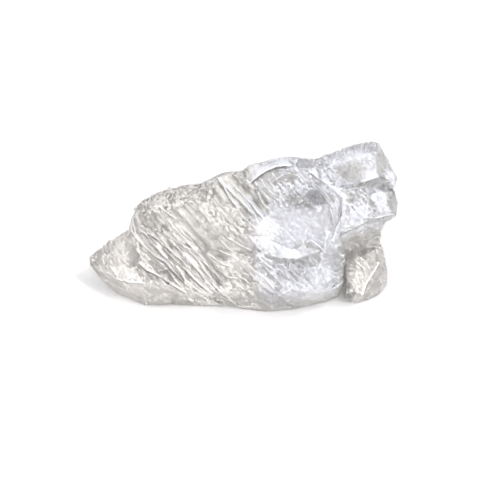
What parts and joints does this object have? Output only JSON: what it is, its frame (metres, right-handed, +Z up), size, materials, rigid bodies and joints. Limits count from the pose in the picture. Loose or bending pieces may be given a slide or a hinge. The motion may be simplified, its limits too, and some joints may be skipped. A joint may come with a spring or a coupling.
{
  "type": "petalite crystal",
  "caption": "Rough clear petalite crystal: a wedge of joined cleavage blocks with striated steps, lying on its flat foot.",
  "frame": {"origin": "centre of the bounding box in plan, on the plane of the flat foot", "axes": "+X along the crystal from the pointed end to the blocky end, +Y from its front to its back, +Z up"},
  "size_m": [0.0448, 0.022, 0.0214],
  "materials": {
    "petalite": "clear to milky colourless petalite, vitreous on cleavage faces and frosted on broken edges"
  },
  "bodies": {
    "root": {"crystal": "petalite"}
  },
  "joints": []
}
